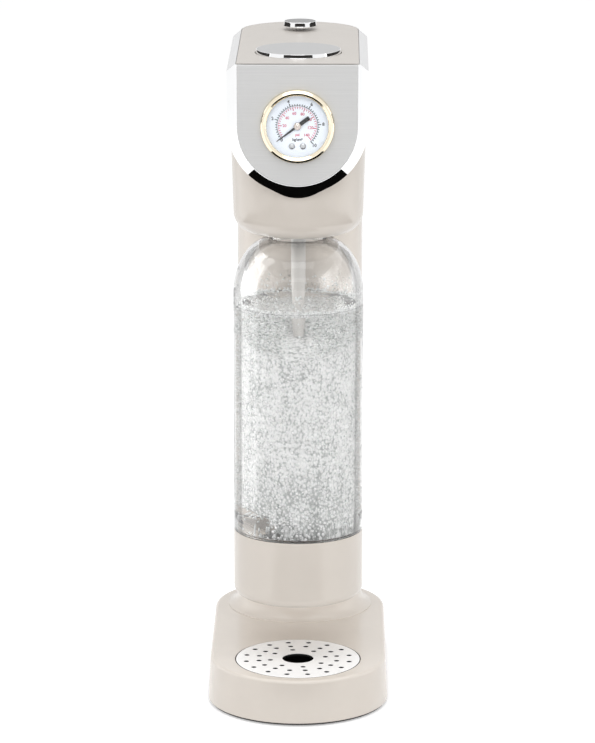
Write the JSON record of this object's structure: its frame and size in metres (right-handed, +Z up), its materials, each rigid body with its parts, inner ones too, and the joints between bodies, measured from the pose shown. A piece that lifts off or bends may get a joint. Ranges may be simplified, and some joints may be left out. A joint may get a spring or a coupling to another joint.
{
  "type": "sparkling water maker",
  "caption": "Countertop sparkling water maker: round-ended base with drip grid, round column with a gas cylinder inside, head with pressure gauge, press button, release knob and hanging bottle.",
  "frame": {"origin": "bottom centre of the bounding box, on the floor under the middle of the base", "axes": "+Z up, -Y towards the front with the gauge, +X to the right as seen from the front"},
  "size_m": [0.12, 0.236, 0.4407],
  "materials": {
    "beige_plastic": "satin",
    "dark_plastic": "matte",
    "rubber": "matte",
    "screw_steel": "satin",
    "polished_metal": "polished",
    "brushed_metal": "brushed",
    "silver_trim": "satin",
    "machined_metal": "machined",
    "brass": "polished",
    "pale_gold": "polished",
    "dial_white": "matte",
    "needle_black": "satin",
    "clear_lens": "polished",
    "clear_bottle": "polished",
    "hose_white": "satin",
    "nozzle_plastic": "satin",
    "grey_plastic": "matte"
  },
  "bodies": {
    "stand": {"base_shell": "beige_plastic", "base_plate": "dark_plastic", "rubber_feet": "rubber", "base_screws": "screw_steel", "drip_cup": "dark_plastic", "column_shell": "beige_plastic", "cylinder_pad": "rubber", "cylinder_coupling": "machined_metal", "coupling_seal": "rubber", "lever_bracket": "brushed_metal", "lever_pivot": "screw_steel", "head_shell": "beige_plastic", "head_rim": "silver_trim", "lid": "beige_plastic", "nose_shell": "beige_plastic", "front_bezel": "polished_metal", "front_panel": "brushed_metal", "gauge_bezel": "pale_gold", "gauge_case": "machined_metal", "gauge_dial": "dial_white", "gauge_lens": "clear_lens", "gauge_movement": "brass", "pressure_tube": "brass", "gauge_stem": "brass", "gauge_hose": "hose_white", "dial_screws": "screw_steel", "carbonation_block": "dark_plastic", "bottle_seal": "rubber", "nozzle_tube": "nozzle_plastic", "nozzle_tip": "nozzle_plastic", "gas_hose": "hose_white", "relief_hose": "hose_white", "safety_valve": "brass", "button_spring": "screw_steel", "release_spring": "screw_steel", "release_valve": "brass", "head_screws": "screw_steel"},
    "button": {"carbonate_button": "brushed_metal", "button_plunger": "dark_plastic"},
    "lever": {"valve_lever": "brushed_metal"},
    "push": {"push_pin": "screw_steel"},
    "release": {"release_knob": "brushed_metal", "release_stem": "screw_steel"},
    "needle": {"gauge_needle": "needle_black"},
    "lock": {"lock_ring": "grey_plastic"},
    "bottle_set": {"bottle": "clear_bottle", "bottle_cup": "beige_plastic"},
    "grid": {"drip_grid": "polished_metal"},
    "cover": {"rear_cover": "beige_plastic"},
    "cylinder": {"gas_cylinder": "machined_metal", "cylinder_valve": "brass"}
  },
  "joints": [
    {"name": "carbonate_press", "type": "slide", "parent": "stand", "child": "button", "axis": [0, 0, -1], "range_m": [0, 0.006], "stiffness_N_per_m": 800, "springref_m": -0.004, "deforming": ["button_spring"]},
    {"name": "lever_swing", "type": "hinge", "parent": "stand", "child": "lever", "pos_m": [0, 0.087, 0.39348], "axis": [1, 0, 0], "range_deg": [0, 2.8]},
    {"name": "pin_push", "type": "slide", "parent": "stand", "child": "push", "axis": [0, 0, -1], "range_m": [0, 0.0013]},
    {"name": "release_press", "type": "slide", "parent": "stand", "child": "release", "axis": [0, 0, -1], "range_m": [0, 0.002], "stiffness_N_per_m": 600, "springref_m": -0.003, "deforming": ["release_spring"]},
    {"name": "needle_turn", "type": "hinge", "parent": "stand", "child": "needle", "pos_m": [0, -0.0936, 0.3952], "axis": [0, 1, 0], "range_deg": [0, 266], "stiffness_Nm_per_rad": 0.0002, "springref_deg": -17.19},
    {"name": "bottle_twist", "type": "hinge", "parent": "stand", "child": "lock", "pos_m": [0, -0.04, 0.3276], "axis": [0, 0, 1], "range_deg": [0, 60]},
    {"name": "bottle_lower", "type": "slide", "parent": "lock", "child": "bottle_set", "axis": [0, 0, -1], "range_m": [0, 0.024]},
    {"name": "grid_lift", "type": "slide", "parent": "stand", "child": "grid", "axis": [0, 0, 1], "range_m": [0, 0.012]},
    {"name": "cover_pull", "type": "slide", "parent": "stand", "child": "cover", "axis": [0, 1, 0], "range_m": [0, 0.06]},
    {"name": "cylinder_turn", "type": "hinge", "parent": "stand", "child": "cylinder", "pos_m": [0, 0.062, 0.2], "axis": [0, 0, 1], "continuous": true}
  ],
  "couplings": [
    {"joint": "lever_swing", "follows": "carbonate_press", "rad_per_m": 7.874},
    {"joint": "pin_push", "follows": "carbonate_press", "ratio": 0.19685}
  ]
}
